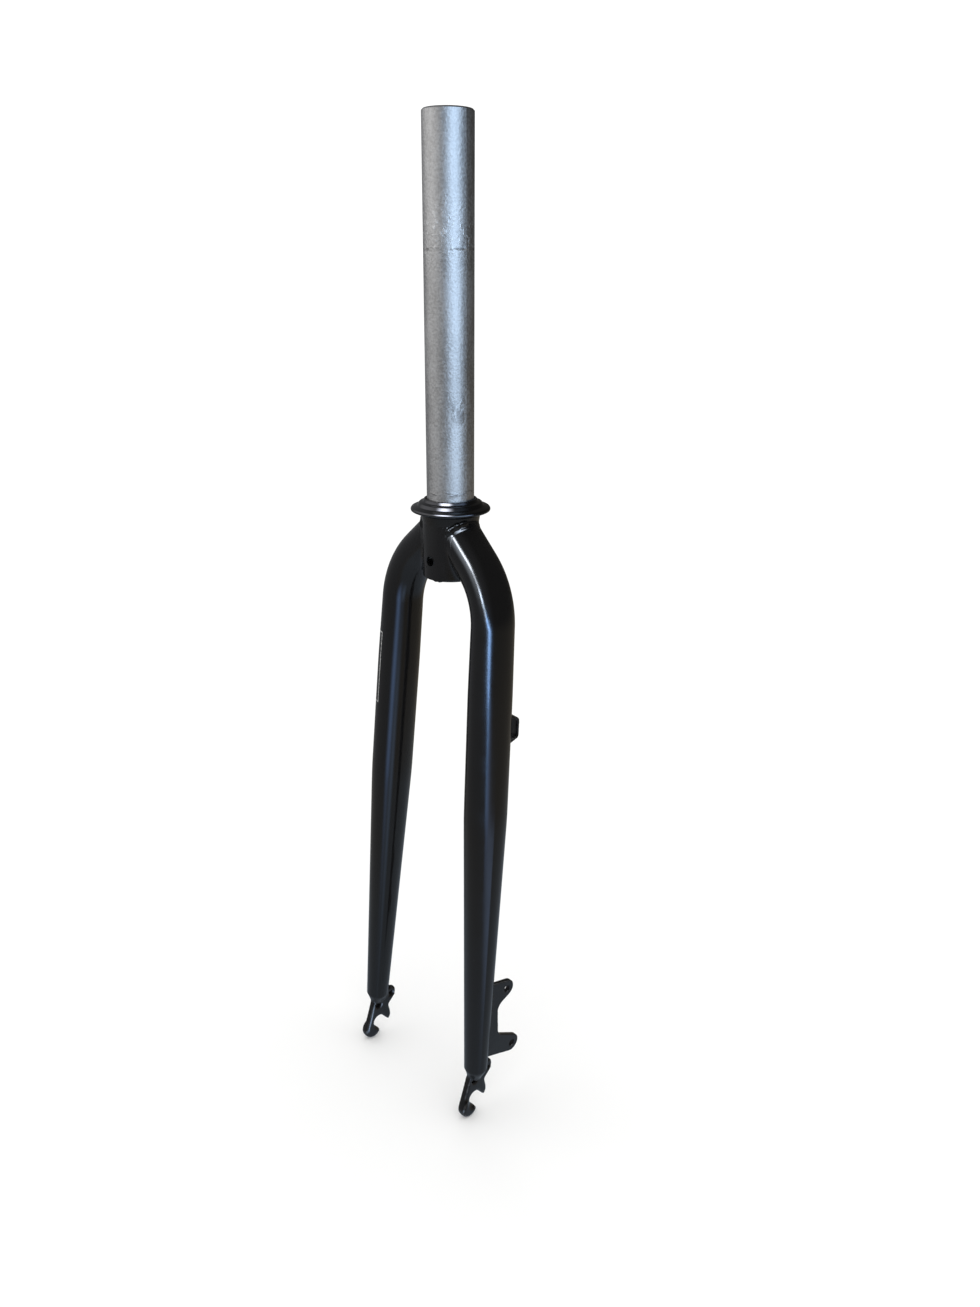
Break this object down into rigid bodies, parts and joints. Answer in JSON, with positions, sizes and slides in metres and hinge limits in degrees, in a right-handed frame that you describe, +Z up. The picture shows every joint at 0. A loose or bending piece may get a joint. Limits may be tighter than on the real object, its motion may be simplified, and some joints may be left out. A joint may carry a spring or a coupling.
{
  "type": "bicycle fork",
  "caption": "Rigid steel bicycle fork: straight bare steering tube, pressed crown race, curved welded legs, hooked dropouts, brake mount and hose guide on the left leg.",
  "frame": {"origin": "on the steering axis at the foot of the bare steering tube, level with the upper lip of the crown race", "axes": "+Z up the steering axis, -Y towards the front, +X towards the left leg with the brake mount"},
  "size_m": [0.123, 0.0682, 0.6282],
  "materials": {
    "bare_steel": "bare drawn tube with scuffs",
    "black_paint": "satin",
    "black_weld": "satin over a weld bead",
    "black_race": "gloss"
  },
  "bodies": {
    "root": {"steerer_tube": "bare_steel", "crown_race": "black_race", "left_blade": "black_paint", "right_blade": "black_paint", "left_dropout": "black_paint", "right_dropout": "black_paint", "disc_mount": "black_paint", "hose_guide": "black_paint", "left_crown_weld": "black_weld", "right_crown_weld": "black_weld", "left_dropout_weld": "black_weld", "right_dropout_weld": "black_weld", "inner_mount_weld": "black_weld", "outer_mount_weld": "black_weld"}
  },
  "joints": []
}
